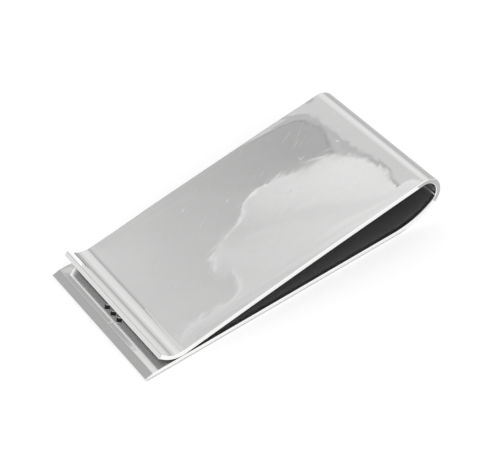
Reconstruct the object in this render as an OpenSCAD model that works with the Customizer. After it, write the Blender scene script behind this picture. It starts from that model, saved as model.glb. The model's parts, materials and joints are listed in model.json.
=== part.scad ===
// Spring money clip: one strip of sheet silver folded into a base and a sprung arm.
//
// The strip is drawn as eight zones in a row, each a flat or an arc of the same sheet. The zones
// meet face to face, except for a fine parting at each end of the tight bend. Those two partings
// are flexures, and they stand for the spring action.
// +X runs from the open end towards the bend, +Y is across the strip, and +Z is up.
// The origin is on the resting face, under the middle of the clip.

/* [Sheet] */
// Width of the strip
strip_w = 25.4; // [15:0.1:35]
// Thickness of the sheet
sheet_t = 0.8; // [0.5:0.05:1.1]

/* [Base] */
// Length of the flat base, from its free end to the heel
base_len = 42.1; // [41:0.1:50]
// Length of the bevelled top edge at the free end
tip_len = 1.3; // [0.5:0.1:2]
// How far the bevel falls across that length
tip_drop = 0.32; // [0.05:0.01:0.4]

/* [Stamped mark] */
// Number of lozenges in the row
mark_count = 3; // [1:1:4]
// Length of one lozenge, along the strip
mark_long = 1.1; // [0.6:0.1:1.3]
// Width of one lozenge, across the strip
mark_wide = 1.3; // [0.6:0.1:1.5]
// Distance between the middles of two lozenges
mark_pitch = 1.6; // [1.6:0.1:2]
// Depth of the stamped recesses
mark_depth = 0.12; // [0.05:0.01:0.2]
// Distance from the free end to the middle of the row
mark_from_end = 2.9; // [2.8:0.1:4]
// Distance from the middle of the strip to the middle of the row
mark_offset = 0.2; // [-3:0.1:3]

/* [Bend] */
// Radius of the heel, at the middle of the sheet
heel_r = 12.5; // [9:0.5:16]
// Angle that the heel sweeps up through, in degrees
heel_turn = 33.5; // [28:0.5:36]
// Parting at each end of the bend, so that the flexures never bind
seam_gap = 0.02; // [0.01:0.01:0.05]

/* [Arm] */
// Length of the arm along its curve, from the bend to the crease
leaf_len = 41; // [36:0.5:42]
// Slope of the arm where it leaves the bend, in degrees
leaf_pitch = 6.8; // [5.5:0.1:8]
// Angle that the arm bows down through along its length, in degrees
leaf_bow = 2; // [1:0.1:4]
// Radius of the pinching crease, at the middle of the sheet
crease_r = 3.8; // [2.5:0.1:4.2]
// Clear height between the crease and the base
crease_gap = 0.1; // [0.05:0.01:0.3]
// Angle that the finger lip rises at, in degrees
lip_rise = 44; // [30:1:60]
// Straight length of the finger lip
lip_len = 1; // [0.6:0.1:1.4]
// Radius that eases the lip's end
lip_round = 0.2; // [0.1:0.05:0.24]

/* [Hidden] */
$fn = 96;
half_t = sheet_t / 2;

// Slope of the arm where it meets the crease
leaf_end = leaf_pitch + leaf_bow;
// The bow is one long arc, and its chord is the straight line between its ends
leaf_r = leaf_len / leaf_bow * 180 / PI;
leaf_chord = 2 * leaf_r * sin(leaf_bow / 2);

// The bend's radius is whatever closes the crease onto the base, crease_gap above it
heel_rise = heel_r * (1 - cos(heel_turn));
arm_fall = leaf_chord * sin(leaf_pitch + leaf_bow / 2) + crease_r * (1 - cos(leaf_end));
bend_r = (sheet_t + crease_gap - heel_rise + arm_fall) / (cos(heel_turn) + cos(leaf_pitch));

// Angles where the bend starts, is outermost, and ends, counted from +X towards +Z
bend_from = 270 + heel_turn;
bend_mid = 360;
bend_to = 450 + leaf_pitch;
seam_angle = seam_gap / bend_r * 180 / PI;

// Overall length, measured first from the free end, puts the origin under the middle
heel_reach = heel_r * sin(heel_turn);
bend_reach = bend_r * (1 - sin(heel_turn));
overall_len = base_len + heel_reach + bend_reach + half_t;
free_end = -overall_len / 2;

// Centres of the arcs, as [x, z]
function on_arc(centre, r, angle) = centre + r * [cos(angle), sin(angle)];
heel_c = [free_end + base_len, half_t + heel_r];
bend_c = on_arc(on_arc(heel_c, heel_r, bend_from), -bend_r, bend_from);
leaf_c = on_arc(on_arc(bend_c, bend_r, bend_to), -leaf_r, bend_to);
crease_start = on_arc(leaf_c, leaf_r, bend_to + leaf_bow);
crease_c = on_arc(crease_start, crease_r, bend_to + leaf_bow);
lip_start = on_arc(crease_c, crease_r, 270 - lip_rise);

// Extra length that carries a cutting shape clear of the solid it cuts
clear = 1;

// Stands a flat outline in X and Z up, and gives it the strip's width along Y
module across_strip() {
    rotate([90, 0, 0])
        linear_extrude(height = strip_w, center = true)
            children();
}

// A stretch of the sheet bent round a centre, between two angles
module bent_sheet(centre, r, from, to) {
    translate([centre[0], 0, centre[1]])
        rotate([90, 0, 0])
            rotate([0, 0, from])
                rotate_extrude(angle = to - from)
                    translate([r - half_t, -strip_w / 2])
                        square([sheet_t, strip_w]);
}

// A row of lozenges across the strip, standing on their lowest plane
module lozenge_row(height) {
    first = -(mark_count - 1) / 2;
    for (i = [0 : mark_count - 1])
        translate([0, (first + i) * mark_pitch, 0])
            linear_extrude(height = height)
                polygon([
                    [mark_long / 2, 0], [0, mark_wide / 2],
                    [-mark_long / 2, 0], [0, -mark_wide / 2]
                ]);
}

module base_tip() {
    color("silver")
        translate([free_end, 0, 0])
            across_strip()
                polygon([
                    [0, 0], [tip_len, 0],
                    [tip_len, sheet_t], [0, sheet_t - tip_drop]
                ]);
}

module base_leaf() {
    color("silver")
        difference() {
            translate([free_end + tip_len, -strip_w / 2, 0])
                cube([base_len - tip_len, strip_w, sheet_t]);
            translate([free_end + mark_from_end, mark_offset, sheet_t - mark_depth])
                lozenge_row(mark_depth + clear);
        }
}

module base_heel() {
    color("lightsteelblue")
        bent_sheet(heel_c, heel_r, 270, bend_from);
}

module bend_lower() {
    color("gainsboro")
        bent_sheet(bend_c, bend_r, bend_from + seam_angle, bend_mid);
}

module bend_upper() {
    color("lightgray")
        bent_sheet(bend_c, bend_r, bend_mid, bend_to - seam_angle);
}

module clip_leaf() {
    color("silver")
        bent_sheet(leaf_c, leaf_r, bend_to, bend_to + leaf_bow);
}

module pinch_crease() {
    color("lightsteelblue")
        bent_sheet(crease_c, crease_r, 270 - lip_rise, 270 + leaf_end);
}

module finger_lip() {
    core_t = sheet_t - 2 * lip_round;
    color("gainsboro")
        translate([lip_start[0], 0, lip_start[1]])
            rotate([0, 180 + lip_rise, 0])
                across_strip() {
                    translate([0, -half_t])
                        square([lip_len - lip_round, sheet_t]);
                    translate([0, -core_t / 2])
                        square([lip_len, core_t]);
                    for (side = [-1, 1])
                        translate([lip_len - lip_round, side * core_t / 2])
                            circle(r = lip_round);
                }
}

base_tip();
base_leaf();
base_heel();
bend_lower();
bend_upper();
clip_leaf();
pinch_crease();
finger_lip();
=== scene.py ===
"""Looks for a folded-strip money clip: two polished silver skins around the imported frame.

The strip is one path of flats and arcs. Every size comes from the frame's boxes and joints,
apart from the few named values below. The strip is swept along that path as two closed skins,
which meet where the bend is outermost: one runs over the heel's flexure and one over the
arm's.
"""

import json
import math

import bpy
import numpy as np
from mathutils import Matrix, Vector


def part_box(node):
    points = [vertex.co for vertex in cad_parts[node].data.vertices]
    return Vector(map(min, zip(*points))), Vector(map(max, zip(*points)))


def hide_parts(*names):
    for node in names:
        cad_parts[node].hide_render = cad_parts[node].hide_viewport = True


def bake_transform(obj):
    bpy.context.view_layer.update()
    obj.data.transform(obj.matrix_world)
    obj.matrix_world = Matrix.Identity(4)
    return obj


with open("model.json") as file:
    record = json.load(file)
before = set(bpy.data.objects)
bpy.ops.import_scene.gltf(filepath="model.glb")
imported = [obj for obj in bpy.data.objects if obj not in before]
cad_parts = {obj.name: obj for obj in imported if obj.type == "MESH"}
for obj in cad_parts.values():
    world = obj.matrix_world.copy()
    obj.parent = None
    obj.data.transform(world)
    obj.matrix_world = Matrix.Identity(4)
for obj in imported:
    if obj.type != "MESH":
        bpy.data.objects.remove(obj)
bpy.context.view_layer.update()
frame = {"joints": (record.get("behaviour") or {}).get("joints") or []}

MM = 0.001

# Shape values that the frame's boxes don't give directly
LEAF_BOW = math.radians(2)
CREASE_RADIUS = 3.8 * MM
LIP_RISE = math.radians(44)
LIP_ROUND = 0.2 * MM
TIP_DROP = 0.32 * MM

# Stamped mark: a row of lozenges on the base, just outside the lip
MARK_COUNT = 3
MARK_PITCH = 1.6 * MM
MARK_LONG = 1.1 * MM
MARK_WIDE = 1.3 * MM
MARK_DEPTH = 0.12 * MM
MARK_FROM_END = 2.9 * MM
MARK_OFFSET = 0.2 * MM
# Share of a lozenge's half size that its sloping wall takes up
MARK_WALL = 0.3

# Softened edges, along the strip's sides and at its two ends
EDGE_ROUND = 0.15 * MM
END_ROUND = 0.12 * MM
# Share of the bevel's fall that comes from its slight crown
TIP_CROWN = 0.06
# How far the faces swell
LEAF_SWELL = 0.008 * MM
BASE_SWELL = 0.002 * MM
# How the leaf's top rolls over at its long edges
ROLL_DROP = 0.04 * MM
ROLL_WIDTH = 2.2 * MM

# Where the patina and painted shade inside the fold start on the base, and how they fade there, at the lip
# and at the sides
INSIDE_FROM = 2.75 * MM
INSIDE_FADE = 1.2 * MM
INSIDE_LIP_FADE = 0.5 * MM
INSIDE_SIDE_FADE = 1.0 * MM

# Mesh density
FLAT_STEP = 0.7 * MM
ARC_STEP = math.radians(3)
MARK_STEP = 0.09 * MM
TIP_RINGS = 8
CORNER_STEPS = 4
# Columns close to the rounded edges, by distance from them
EDGE_COLUMNS = np.array([0.05, 0.15, 0.35, 0.7, 1.2, 1.8]) * MM
# Closest that two columns or two rings may be
COLUMN_GAP = 0.03 * MM
RING_GAP = 0.02 * MM
# Step over which the relief's slope is measured
SLOPE_STEP = 0.002 * MM

SILVER = (0.945, 0.943, 0.94, 1)
SMUDGED_SILVER = (0.905, 0.903, 0.90, 1)
# Dark colour inside the fold: partly patina, partly painted shade where the leaf shades the base
PATINA_AND_PAINTED_SHADE = (0.21, 0.21, 0.213, 1)
OXIDE = (0.035, 0.034, 0.033, 1)

# What the reflections see on the right by height, from the horizon (0) to straight up (1)
ROOM_BANDS = ((0.0, 0.5), (0.17, 0.5), (0.24, 0.68), (0.36, 0.70), (0.42, 0.82), (0.62, 0.82),
              (0.68, 0.74), (0.74, 0.66), (0.85, 0.60), (1.0, 0.6))
# The rest of the room: its even grey, its dim corner's direction, and the window in the front wall
ROOM_LIGHT = 0.66
DIM_CORNER = (-0.22, 0.64, 0.73)
WINDOW_LIGHT = 1.05
WINDOW_X = 0.34

FLOOR_REACH = 1.5
FLOOR_ALBEDO = 0.8
FLOOR_GLOW = 0.46


# ---------------------------------------------------------------- the strip's path

class Size:
    """Sizes of the strip in metres, read from the CAD nodes' boxes and the two joints."""

    def __init__(self):
        tip_lo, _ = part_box("base_tip")
        base_lo, base_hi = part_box("base_leaf")
        bend_lo, bend_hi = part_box("bend_upper")
        crease_lo, crease_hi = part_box("pinch_crease")
        lip_lo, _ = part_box("finger_lip")
        self.heel_pin, self.arm_pin = (Vector(joint["pos_m"]) for joint in frame["joints"])

        self.half = base_hi.z / 2
        self.half_w = (base_hi.y - base_lo.y) / 2
        self.free_end = tip_lo.x
        self.tip_len = base_lo.x - tip_lo.x
        self.base_len = base_hi.x - tip_lo.x

        # The bend's box touches its outer face above and beside its centre
        outer = bend_hi.z - bend_lo.z
        bend_x, bend_z = bend_hi.x - outer, bend_lo.z
        self.bend_r = outer - self.half
        self.heel_turn = math.atan2(self.heel_pin.x - bend_x, bend_z - self.heel_pin.z)
        self.pitch = math.atan2(bend_x - self.arm_pin.x, self.arm_pin.z - bend_z)
        self.bend_turn = math.pi + self.pitch - self.heel_turn

        # The heel is the arc that leaves the base flat and runs into the bend
        reach, rise = bend_x - base_hi.x, bend_z - self.half
        self.heel_r = (reach ** 2 + rise ** 2 - self.bend_r ** 2) / (2 * (rise - self.bend_r))

        # The leaf is a shallow arc between the bend and the crease
        leaf_end = self.pitch + LEAF_BOW
        crease_x = crease_hi.x - (CREASE_RADIUS + self.half) * math.sin(leaf_end)
        crease_z = crease_lo.z + CREASE_RADIUS + self.half
        run = bend_x - self.bend_r * math.sin(self.pitch) - crease_x - CREASE_RADIUS * math.sin(leaf_end)
        fall = bend_z + self.bend_r * math.cos(self.pitch) - crease_z + CREASE_RADIUS * math.cos(leaf_end)
        self.leaf_len = math.hypot(run, fall) * (LEAF_BOW / 2) / math.sin(LEAF_BOW / 2)
        self.crease_turn = leaf_end + LIP_RISE

        # The lip ends where its rounded lower corner touches its box
        lip_run = crease_x - CREASE_RADIUS * math.sin(LIP_RISE) - lip_lo.x
        corner = (self.half - LIP_ROUND) * math.sin(LIP_RISE) + LIP_ROUND * (1 - math.cos(LIP_RISE))
        self.lip_len = (lip_run - corner) / math.cos(LIP_RISE)


class Path:
    """The middle of the sheet as flats and arcs, followed from the base's free end."""

    def __init__(self, x, z, stretches):
        heading, s = 0.0, 0.0
        self.starts, self.rows = [], []
        for length, turn in stretches:
            k = turn / length
            self.starts.append(s)
            self.rows.append((s, x, z, heading, k))
            if k:
                x += (math.sin(heading + turn) - math.sin(heading)) / k
                z -= (math.cos(heading + turn) - math.cos(heading)) / k
            else:
                x += length * math.cos(heading)
                z += length * math.sin(heading)
            heading += turn
            s += length
        self.length = s

    def at(self, s):
        """Place and heading at each distance s along the path."""
        index = np.clip(np.searchsorted(self.starts, s, side="right") - 1, 0, len(self.rows) - 1)
        s0, x0, z0, h0, k = np.moveaxis(np.array(self.rows)[index], -1, 0)
        d = s - s0
        bent = np.abs(k) > 0
        safe = np.where(bent, k, 1.0)
        x = np.where(bent, x0 + (np.sin(h0 + k * d) - np.sin(h0)) / safe, x0 + d * np.cos(h0))
        z = np.where(bent, z0 - (np.cos(h0 + k * d) - np.cos(h0)) / safe, z0 + d * np.sin(h0))
        return x, z, h0 + k * d


size = Size()
path = Path(size.free_end, size.half, [
    (size.base_len, 0.0),
    (size.heel_r * size.heel_turn, size.heel_turn),
    (size.bend_r * size.bend_turn, size.bend_turn),
    (size.leaf_len, LEAF_BOW),
    (CREASE_RADIUS * size.crease_turn, -size.crease_turn),
    (size.lip_len, 0.0),
])
_, HEEL_AT, BEND_AT, LEAF_AT, CREASE_AT, _ = path.starts
# The two skins meet where the bend is outermost
MEET_AT = BEND_AT + size.bend_r * (math.pi / 2 - size.heel_turn)


# ---------------------------------------------------------------- relief of the two faces

def smooth(t):
    """0 to 1 as t goes from 0 to 1, level at both ends."""
    t = np.clip(t, 0.0, 1.0)
    return t * t * (3 - 2 * t)


def window(s, start, stop, fade):
    """1 between start and stop, falling smoothly to 0 at both."""
    return smooth((s - start) / fade) * smooth((stop - s) / fade)


def rolling(s, y):
    """Gentle unevenness of hand-finished sheet, which wobbles the reflections. Moves both faces."""
    u = s - LEAF_AT
    leaf = (np.sin(u / (4.1 * MM) + 0.8) * np.cos(y / (5.3 * MM) + 0.7)
            + 0.7 * np.sin((u + 0.8 * y) / (2.6 * MM) + 2.1)
            + 0.4 * np.sin((y - 0.5 * u) / (1.7 * MM) + 0.3))
    base = 1 + np.sin(s / (3.1 * MM)) * np.cos(y / (3.7 * MM) + 0.5)
    return (LEAF_SWELL * window(s, LEAF_AT, CREASE_AT, 5 * MM) * leaf
            + BASE_SWELL * window(s, 0, HEEL_AT, 4 * MM) * base)


def edge_roll(s, y):
    """The leaf's top falls away a little towards the sheared long edges."""
    near = 1 - (size.half_w - np.abs(y)) / ROLL_WIDTH
    return ROLL_DROP * window(s, LEAF_AT, CREASE_AT, 3 * MM) * np.clip(near, 0.0, 1.0) ** 2


def tip_bevel(s):
    """How far the base's top face falls in the bevel at its free end, which is very slightly crowned."""
    into = np.clip(1 - s / size.tip_len, 0.0, 1.0)
    return TIP_DROP * ((1 - TIP_CROWN) * into + TIP_CROWN * into ** 2)


def lozenges(s, y):
    """1 on the floor of a stamped lozenge and 0 off it, with a short sloping wall between."""
    deep = np.zeros(np.broadcast(s, y).shape)
    for i in range(MARK_COUNT):
        middle = MARK_OFFSET + (i - (MARK_COUNT - 1) / 2) * MARK_PITCH
        out = np.abs(s - MARK_FROM_END) / (MARK_LONG / 2) + np.abs(y - middle) / (MARK_WIDE / 2)
        deep = np.maximum(deep, smooth((1 - out) / MARK_WALL))
    return deep


def relief(s, y, inner):
    """How far a face stands along the sheet's normal from its flat place."""
    top = rolling(s, y) - tip_bevel(s) - MARK_DEPTH * lozenges(s, y)
    return np.where(inner, top, rolling(s, y) + edge_roll(s, y))


# ---------------------------------------------------------------- the skins

def spaced(values, gap):
    """The values in order, without those that come less than gap before the next."""
    values = np.unique(np.concatenate(values))
    return values[np.append(np.diff(values) > gap, True)]


def columns(mark):
    """Places across one face, between the rounded edges: closer together there and over the mark."""
    by_edge = size.half_w - EDGE_ROUND - EDGE_COLUMNS
    y = [np.arange(-by_edge[-1], by_edge[-1], FLAT_STEP), by_edge, -by_edge]
    if mark:
        span = (MARK_COUNT * MARK_PITCH + MARK_WIDE) / 2
        y.append(np.arange(-span, span, MARK_STEP) + MARK_OFFSET)
    return spaced(y, COLUMN_GAP)


def outline(y):
    """The cross-section as its core points and outward directions, underside first, then the top."""
    angle = np.linspace(0, math.pi / 2, CORNER_STEPS + 1)
    c, s = np.cos(angle), np.sin(angle)
    core = size.half_w - EDGE_ROUND
    out_y = np.concatenate([-c, np.zeros(len(y)), c[::-1]])
    out_o = np.concatenate([-s, -np.ones(len(y)), -s[::-1]])
    core_y = np.concatenate([np.full(len(c), -core), y, np.full(len(c), core)])
    inner = np.arange(2 * len(out_y)) >= len(out_y)
    mirrored = [np.concatenate([v, v[::-1]]) for v in (core_y, out_y)]
    return mirrored[0], mirrored[1], np.concatenate([out_o, -out_o[::-1]]), inner


def stations(start, stop, mark):
    """Distances along the path for a skin's rings: closer together on the arcs and over the mark."""
    s = []
    for (at, _, _, _, k), end in zip(path.rows, path.starts[1:] + [path.length]):
        low, high = max(at, start), min(end, stop)
        if high > low:
            step = min(FLAT_STEP, ARC_STEP / abs(k)) if k else FLAT_STEP
            s.append(np.linspace(low, high, math.ceil((high - low) / step) + 1))
    if mark:
        s.append(np.linspace(0, size.tip_len, TIP_RINGS))
        s.append(MARK_FROM_END + np.arange(-0.6 * MARK_LONG, 0.6 * MARK_LONG, MARK_STEP))
    return spaced(s, RING_GAP)


def rings(start, stop, mark):
    """Each ring's distance along the path, the inset of its outline and its lean towards an end."""
    angle = np.linspace(math.pi / 2, 0, CORNER_STEPS + 1)
    back = END_ROUND * (1 - np.sin(angle))
    inset = END_ROUND * (1 - np.cos(angle))
    lean = np.sin(angle)
    s = stations(start, stop, mark)
    parts = []
    if start == 0:
        s = s[s > END_ROUND + RING_GAP]
        parts.append((back, inset, -lean))
    if stop == path.length:
        s = s[s < stop - END_ROUND - RING_GAP]
        parts.append((stop - back[::-1], inset[::-1], lean[::-1]))
    parts.insert(1 if start == 0 else 0, (s, 0 * s, 0 * s))
    return [np.concatenate(v)[:, None] for v in zip(*parts)]


def sweep_faces(count, around):
    """The quads between neighbouring rings, as corner indices."""
    faces = []
    for i in range(count - 1):
        for j in range(around):
            k = (j + 1) % around
            faces.append([i * around + j, i * around + k, (i + 1) * around + k, (i + 1) * around + j])
    return faces


def cap_faces(first, around, way):
    """The row of quads that closes an end ring, whose points start at first. way is -1 or 1."""
    faces = []
    for j in range(around // 2 - 1):
        corners = [first + j, first + j + 1, first + around - 2 - j, first + around - 1 - j]
        faces.append(corners[::way])
    return faces


def skin(name, start, stop, mark=False):
    """A closed skin over the strip from start to stop, with normals taken from the path itself."""
    core_y, out_y, out_o, inner = outline(columns(mark))
    s, inset, lean = rings(start, stop, mark)
    side = EDGE_ROUND - inset
    core_o = (size.half - EDGE_ROUND) * np.where(inner, 1.0, -1.0)
    y = core_y + side * out_y
    o = core_o + side * out_o + relief(s, core_y, inner)

    x, z, heading = path.at(s)
    zero = np.zeros_like(x)
    along = np.stack([np.cos(heading), zero, np.sin(heading)], -1)
    up = np.stack([-np.sin(heading), zero, np.cos(heading)], -1)
    across = np.array([0.0, 1.0, 0.0])
    places = np.stack([x, zero, z], -1) + up * o[..., None] + across * y[..., None]

    def slope(ds, dy):
        ahead, behind = relief(s + ds, core_y + dy, inner), relief(s - ds, core_y - dy, inner)
        return (ahead - behind) / (2 * SLOPE_STEP)

    flat = np.sqrt(1 - lean ** 2)
    slope_y = np.where(np.abs(out_y) > 0, 0.0, slope(0, SLOPE_STEP))
    n_s = lean - flat * out_o * slope(SLOPE_STEP, 0)
    n_y = flat * (out_y - out_o * slope_y)
    n_o = flat * out_o
    normals = along * n_s[..., None] + across * n_y[..., None] + up * n_o[..., None]
    normals /= np.linalg.norm(normals, axis=-1, keepdims=True)

    count, around = y.shape
    faces = sweep_faces(count, around)
    face_normals = list(normals.reshape(-1, 3)[np.ravel(faces)])
    for ring, way in ((0, -1), (count - 1, 1)):
        cap = cap_faces(ring * around, around, way)
        faces += cap
        face_normals += [along[ring, 0] * way] * (4 * len(cap))

    mesh = bpy.data.meshes.new(name)
    mesh.from_pydata(places.reshape(-1, 3).tolist(), [], faces)
    mesh.polygons.foreach_set("use_smooth", [True] * len(faces))
    mesh.normals_split_custom_set(face_normals)
    piece = bpy.data.objects.new(name, mesh)
    bpy.context.scene.collection.objects.link(piece)

    from_side = size.half_w - EDGE_ROUND - np.abs(y)
    # Inside the fold the colour darkens: partly patina, partly painted shade where the leaf shades the base
    fold_patina_and_shade = inner * (out_y == 0) * smooth(from_side / INSIDE_SIDE_FADE)
    fold_patina_and_shade = fold_patina_and_shade * smooth((s - INSIDE_FROM) / INSIDE_FADE) * smooth((path.length - s) / INSIDE_LIP_FADE)
    sheet = np.stack(np.broadcast_arrays(s, y, core_o), -1) / MM
    store(mesh, "sheet", "FLOAT_VECTOR", sheet)
    store(mesh, "stamped", "FLOAT", lozenges(s, y) * inner)
    store(mesh, "fold_patina_and_shade", "FLOAT", fold_patina_and_shade)
    store(mesh, "edge", "FLOAT", np.maximum(np.abs(out_y), np.abs(lean)) * np.ones_like(y))
    return piece


def store(mesh, name, kind, values):
    """A named value at each vertex, for the material to read."""
    attribute = mesh.attributes.new(name, kind, "POINT")
    field = "vector" if kind == "FLOAT_VECTOR" else "value"
    attribute.data.foreach_set(field, np.ravel(values).astype(np.float32))


# ---------------------------------------------------------------- material

class Nodes:
    """Shorthand for building a node tree."""

    def __init__(self, tree):
        tree.nodes.clear()
        self.tree = tree

    def add(self, kind, inputs=None, **settings):
        """A new node, with its inputs linked or set."""
        node = self.tree.nodes.new(kind)
        for key, value in settings.items():
            setattr(node, key, value)
        for key, value in (inputs or {}).items():
            if isinstance(value, bpy.types.NodeSocket):
                self.tree.links.new(value, node.inputs[key])
            else:
                node.inputs[key].default_value = value
        return node

    def math(self, operation, a, b=0.0):
        return self.add("ShaderNodeMath", {0: a, 1: b}, operation=operation).outputs[0]

    def mix(self, factor, a, b):
        """A blend of two colours."""
        return self.add("ShaderNodeMix", {0: factor, 6: a, 7: b}, data_type="RGBA").outputs[2]

    def spread(self, value, low, high, to_low, to_high):
        """value between low and high, as a number between to_low and to_high."""
        return self.add("ShaderNodeMapRange", {0: value, 1: low, 2: high, 3: to_low, 4: to_high}).outputs[0]

    def attribute(self, name, output="Fac"):
        return self.add("ShaderNodeAttribute", attribute_name=name).outputs[output]

    def noise(self, vector, scale=1.0, detail=2.0, distortion=0.0):
        inputs = {"Vector": vector, "Scale": scale, "Detail": detail, "Distortion": distortion}
        return self.add("ShaderNodeTexNoise", inputs).outputs[0]

    def stretched(self, vector, stretch, turn=0.0):
        """Pattern space scaled along each axis, after a turn in degrees about the third."""
        inputs = {"Vector": vector, "Angle": math.radians(turn)}
        turned = self.add("ShaderNodeVectorRotate", inputs).outputs[0]
        return self.add("ShaderNodeVectorMath", {0: turned, 1: stretch}, operation="MULTIPLY").outputs[0]


def new_tree(name):
    material = bpy.data.materials.new(name)
    material.use_nodes = True
    return material, Nodes(material.node_tree)


def grey(level):
    return (level, level, level, 1)


def polished_silver():
    """Hand-polished sterling: buffing haze, hairlines and fine scratches, softer edges, oxide in the
    stamped mark, and a dark patina inside the fold that is partly painted shade.
    """
    material, n = new_tree("polished_silver")
    sheet = n.attribute("sheet", "Vector")
    stamped, fold_patina_and_shade, edge = n.attribute("stamped"), n.attribute("fold_patina_and_shade"), n.attribute("edge")

    # Buffing haze in broad patches, with finger smudges inside them
    haze = n.noise(n.stretched(sheet, (0.10, 0.16, 1.0), 28), detail=4.0, distortion=0.6)
    smudge = n.noise(n.stretched(sheet, (0.35, 0.5, 1.0), -20), detail=6.0, distortion=1.2)
    patchy = n.spread(n.math("ADD", haze, n.math("MULTIPLY", smudge, 0.5)), 0.6, 0.95, 0.015, 0.05)

    # Hairlines from the polishing wheel run along the strip, with finer ones across them
    hairline = n.noise(n.stretched(sheet, (0.25, 9.0, 1.0), 4), detail=3.0)
    cross = n.noise(n.stretched(sheet, (0.6, 5.0, 1.0), 38))
    # A few thin scratches: level lines of a stretched noise, broken up by a second one, outside only
    level = n.noise(n.stretched(sheet, (0.05, 0.45, 1.0), 33), detail=1.0, distortion=0.3)
    line = n.spread(n.math("ABSOLUTE", n.math("SUBTRACT", level, 0.5)), 0.0, 0.006, 1.0, 0.0)
    broken = n.spread(n.noise(n.stretched(sheet, (0.5, 0.5, 1.0))), 0.52, 0.60, 0.0, 1.0)
    scratch = n.math("MULTIPLY", n.math("MULTIPLY", line, broken), n.math("SUBTRACT", 1.0, fold_patina_and_shade))

    rough = patchy
    for mask, extra in ((scratch, 0.35), (edge, 0.03), (fold_patina_and_shade, 0.16), (stamped, 0.25)):
        rough = n.math("ADD", rough, n.math("MULTIPLY", mask, extra))

    # Oxide stays in the stamped mark, where the polishing wheel doesn't reach; the dark patina inside the
    # fold is partly real and partly painted shade under the leaf
    silver = n.mix(smudge, SILVER, SMUDGED_SILVER)
    # Painted shade with patina inside the fold, under the leaf
    patina_and_shade_colour = n.mix(n.math("MULTIPLY", fold_patina_and_shade, 0.9), silver, PATINA_AND_PAINTED_SHADE)
    colour = n.mix(n.math("MULTIPLY", stamped, 0.95), patina_and_shade_colour, OXIDE)
    metallic = n.spread(fold_patina_and_shade, 0.3, 1.0, 1.0, 0.55)

    # Hammer and wheel leave the sheet slightly rippled, with the hairlines on top
    ripple = n.noise(n.stretched(sheet, (0.22, 0.38, 1.0), 24), detail=1.5, distortion=0.5)
    waved = n.add("ShaderNodeBump", {"Height": ripple, "Strength": 1.0, "Distance": 0.006 * MM}).outputs[0]
    height = n.math("ADD", n.math("MULTIPLY", hairline, 0.5), n.math("MULTIPLY", cross, 0.3))
    height = n.math("SUBTRACT", height, n.math("MULTIPLY", scratch, 0.6))
    fine = {"Height": height, "Strength": 0.35, "Distance": 0.0004 * MM, "Normal": waved}
    bump = n.add("ShaderNodeBump", fine).outputs[0]
    shader = n.add("ShaderNodeBsdfPrincipled", {
        "Base Color": colour, "Metallic": metallic, "Roughness": rough, "Normal": bump})
    n.add("ShaderNodeOutputMaterial", {"Surface": shader.outputs[0]})
    return material


# ---------------------------------------------------------------- studio

def stage_sheet(name, corners, height, material):
    """A level sheet for the stage, with its corners and height in metres."""
    mesh = bpy.data.meshes.new(name)
    mesh.from_pydata([(x, y, height) for x, y in corners], [], [list(range(len(corners)))])
    mesh.materials.append(material)
    made = bpy.data.objects.new(name, mesh)
    bpy.context.scene.collection.objects.link(made)
    return made


def glow(name, left, right, patchiness, span):
    """A glowing material with soft patches, from level left to level right across span in X."""
    material, n = new_tree(name)
    place = n.add("ShaderNodeTexCoord").outputs["Object"]
    along = n.add("ShaderNodeSeparateXYZ", {0: place}).outputs[0]
    level = n.spread(along, span[0], span[1], left, right)
    patch = n.noise(n.stretched(place, (9.0, 30.0, 1.0), 30), detail=4.0, distortion=0.8)
    level = n.math("MULTIPLY", level, n.spread(patch, 0.35, 0.65, 1 - patchiness, 1 + patchiness))
    emission = n.add("ShaderNodeEmission", {"Color": (1, 1, 1, 1), "Strength": level})
    n.add("ShaderNodeOutputMaterial", {"Surface": emission.outputs[0]})
    return material


def card(name, corners, height, left, right, patchiness=0.0, span=(0.10, 0.22)):
    """A glowing card, seen in reflections only, with corners and height in millimetres."""
    places = [(x * MM, y * MM) for x, y in corners]
    made = stage_sheet(name, places, height * MM, glow(name, left, right, patchiness, span))
    made.visible_camera = False
    made.visible_diffuse = False
    made.visible_shadow = False


def rounded(corners, steps=6):
    """A closed outline through the corners as a smooth curve."""
    points = np.array(corners, float)
    before, after, later = np.roll(points, 1, 0), np.roll(points, -1, 0), np.roll(points, -2, 0)
    curve = []
    for a, b, c, d in zip(before, points, after, later):
        for t in np.arange(steps) / steps:
            curve.append(0.5 * (2 * b + (c - a) * t + (2 * a - 5 * b + 4 * c - d) * t ** 2
                                + (3 * b - a - 3 * c + d) * t ** 3))
    return [tuple(point) for point in curve]


def box_corners(x0, y0, x1, y1):
    """The corners of an upright rectangle, in order round it."""
    return [(x0, y0), (x1, y0), (x1, y1), (x0, y1)]


def build_floor():
    """A white table, lit evenly, that the clip stands on."""
    material, n = new_tree("white_table")
    shader = n.add("ShaderNodeBsdfPrincipled", {
        "Base Color": grey(FLOOR_ALBEDO), "Roughness": 0.6, "Specular IOR Level": 0.0,
        "Emission Color": (1, 1, 1, 1), "Emission Strength": FLOOR_GLOW})
    n.add("ShaderNodeOutputMaterial", {"Surface": shader.outputs[0]})
    stage_sheet("floor", box_corners(-FLOOR_REACH, -FLOOR_REACH, FLOOR_REACH, FLOOR_REACH), 0, material)


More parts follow.
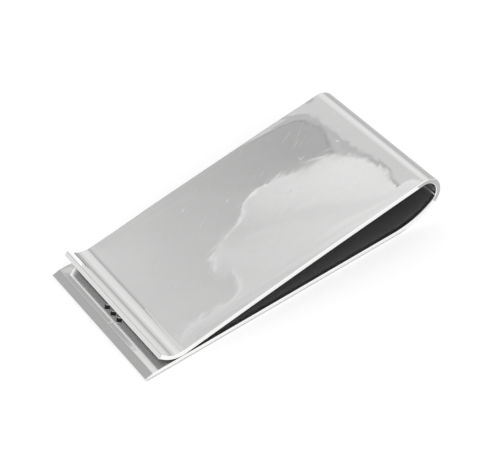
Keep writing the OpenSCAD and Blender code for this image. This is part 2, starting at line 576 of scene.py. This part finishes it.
def build_world():
    """A white backdrop for the camera, and a softly banded room for the reflections."""
    world = bpy.data.worlds.new("studio")
    world.use_nodes = True
    bpy.context.scene.world = world
    n = Nodes(world.node_tree)
    direction = n.add("ShaderNodeTexCoord").outputs["Generated"]
    x, y, z = n.add("ShaderNodeSeparateXYZ", {0: direction}).outputs[:3]
    bands = n.add("ShaderNodeValToRGB", {"Fac": z})
    while len(bands.color_ramp.elements) < len(ROOM_BANDS):
        bands.color_ramp.elements.new(0.5)
    for element, (at, level) in zip(bands.color_ramp.elements, ROOM_BANDS):
        element.position = at
        element.color = grey(level)

    # Bands on the right, and elsewhere an even grey with a dim corner and a dark horizon at the back
    level = n.mix(n.spread(x, 0.22, 0.30, 0.0, 1.0), grey(ROOM_LIGHT), bands.outputs[0])
    away = n.add("ShaderNodeVectorMath", {0: direction, 1: DIM_CORNER}, operation="DISTANCE").outputs[1]
    level = n.math("MULTIPLY", level, n.spread(away, 0.1, 0.3, 0.6, 1.0))
    horizon = n.math("MULTIPLY", n.spread(y, 0.70, 0.80, 0.0, 1.0), n.spread(z, 0.05, 0.5, 0.8, 0.0))
    level = n.math("MULTIPLY", level, n.math("SUBTRACT", 1.0, horizon))
    cloud = n.noise(direction, 5.0, 3.0, 0.5)
    level = n.math("MULTIPLY", level, n.spread(cloud, 0.3, 0.7, 0.95, 1.05))

    # A wall on the left that is brighter low down, and one in front with a bright window in it
    left = n.spread(z, 0.2, 0.6, 0.8, 0.62)
    level = n.mix(n.spread(x, -0.60, -0.45, 1.0, 0.0), level, left)
    beside = n.math("ABSOLUTE", n.math("SUBTRACT", x, WINDOW_X))
    wall = n.spread(z, 0.0, 0.8, 0.42, 0.75)
    front = n.mix(n.spread(beside, 0.2, 0.45, 0.0, 1.0), grey(WINDOW_LIGHT), wall)
    level = n.mix(n.spread(y, -0.15, 0.15, 1.0, 0.0), level, front)

    seen = n.add("ShaderNodeLightPath").outputs["Is Camera Ray"]
    backdrop = n.mix(seen, level, (1, 1, 1, 1))
    background = n.add("ShaderNodeBackground", {"Color": backdrop, "Strength": 1.0})
    n.add("ShaderNodeOutputWorld", {"Surface": background.outputs[0]})


def build_cards():
    """What the clip reflects: cloth and panels high behind it, and grey flags there and on the table."""
    # A bright cloth with a ragged hem, which makes the bright patch on the leaf
    cloth = rounded([(230, 440), (214, 458), (208, 490), (190, 505), (125, 507), (72, 489), (82, 474),
                     (66, 455), (20, 458), (-100, 440), (-100, 250), (400, 250), (400, 430)])
    hem = [(x * 1.02 - 3, y * 1.012) for x, y in cloth]
    card("white_cloth", cloth, 600, 0.66, 0.83, 0.06)
    card("bright_hem", hem, 604, 0.84, 0.80, 0.05)

    # A grey panel above it with a dark rim, and two strips that shade the leaf beside the bend
    panel = rounded([(226, 430), (216, 450), (209, 490), (207, 515), (212, 530), (207, 545), (198, 575),
                     (180, 610), (100, 700), (-100, 760), (-100, 250), (226, 250)])
    card("grey_panel", panel, 612, 0.64, 0.445, 0.03, span=(0.01, 0.20))
    card("panel_rim", [(x + 5, y + 4) for x, y in panel], 616, 0.38, 0.38)
    card("rail", box_corners(219, 380, 223, 700), 618, 0.50, 0.50)
    card("wing", box_corners(200, 506, 224, 620), 620, 0.53, 0.53, 0.04)

    # One flag hangs under the cloth's left end and darkens the base's bevel. The others lie on the
    # table: along the near side, behind the clip, and beyond the bend
    card("tip_flag", box_corners(-150, 430, -4, 640), 598, 0.44, 0.28, span=(-0.057, -0.023))
    card("near_flag", box_corners(-25, -12.95, 24, -12.6), 0.03, 0.6, 0.6)
    card("back_flag", box_corners(-8, 13.5, 24, 300), 0.1, 0.2, 0.2)
    card("side_flag", box_corners(25.6, -25, 600, 600), 0.1, 0.55, 0.55)


def build_camera():
    """A long lens from the near left, at the photograph's angle and distance."""
    azimuth, elevation, roll = (math.radians(v) for v in (-28.626, 44.239, -8.475))
    distance = 234.32 * MM
    target = Vector((1.057 * MM, 0, 0))
    off_centre = (-0.517 * MM, 0.382 * MM)
    back = Vector((math.sin(azimuth) * math.cos(elevation), -math.cos(azimuth) * math.cos(elevation),
                   math.sin(elevation)))
    right = Vector((math.cos(azimuth), math.sin(azimuth), 0))
    right = right * math.cos(roll) + back.cross(right) * math.sin(roll)
    up = back.cross(right)
    place = target + right * off_centre[0] + up * off_centre[1] + back * distance
    data = bpy.data.cameras.new("camera")
    data.sensor_width = 36
    data.lens = 117.7
    data.clip_start = 0.01
    data.clip_end = 20
    camera = bpy.data.objects.new("camera", data)
    camera.matrix_world = Matrix.Translation(place) @ Matrix((right, up, back)).transposed().to_4x4()
    bpy.context.scene.collection.objects.link(camera)
    bpy.context.scene.camera = camera


# ---------------------------------------------------------------- build

silver = polished_silver()
base_skin = skin("base_skin", 0.0, MEET_AT, mark=True)
arm_skin = skin("arm_skin", MEET_AT, path.length)
for piece in (base_skin, arm_skin):
    piece.data.materials.append(silver)

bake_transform(base_skin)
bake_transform(arm_skin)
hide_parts("base_tip", "base_leaf", "base_heel", "bend_lower")
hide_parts("bend_upper", "clip_leaf", "pinch_crease", "finger_lip")

build_floor()
build_world()
build_cards()
build_camera()
bpy.context.scene.view_settings.view_transform = "Standard"
